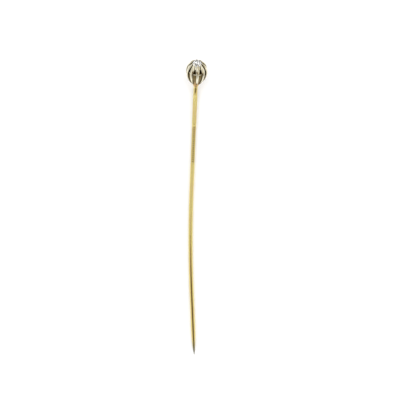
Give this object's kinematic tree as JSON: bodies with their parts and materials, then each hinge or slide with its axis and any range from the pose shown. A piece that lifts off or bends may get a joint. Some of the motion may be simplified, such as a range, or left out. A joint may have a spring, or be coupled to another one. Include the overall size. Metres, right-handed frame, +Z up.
{
  "type": "stick pin",
  "caption": "Antique tie pin: a round brilliant in a bulb-shaped mount of ridged claws, set at an angle on a long, slightly bowed stem with a grooved grip and a sharp point.",
  "frame": {"origin": "on the surface that the pin lies on, under the middle of its bounding box", "axes": "+Z up from the surface, +Y along the stem towards the head, +X to the right seen from above with the head away from the viewer"},
  "size_m": [0.0046, 0.0646, 0.0062],
  "materials": {
    "yellow_gold": "polished, finely worn",
    "gold_solder": "slightly matt",
    "pale_gold": "polished, finely worn",
    "diamond": "faceted and polished"
  },
  "bodies": {
    "root": {"pin_stem": "yellow_gold", "neck_solder": "gold_solder", "base_collar": "yellow_gold", "bowl": "yellow_gold", "lower_rail": "pale_gold", "seat_ring": "pale_gold", "diamond": "diamond", "claw_01": "pale_gold", "claw_02": "pale_gold", "claw_03": "pale_gold", "claw_04": "pale_gold", "claw_05": "pale_gold", "claw_06": "pale_gold", "claw_07": "pale_gold", "claw_08": "pale_gold", "claw_09": "pale_gold", "claw_10": "pale_gold"}
  },
  "joints": []
}
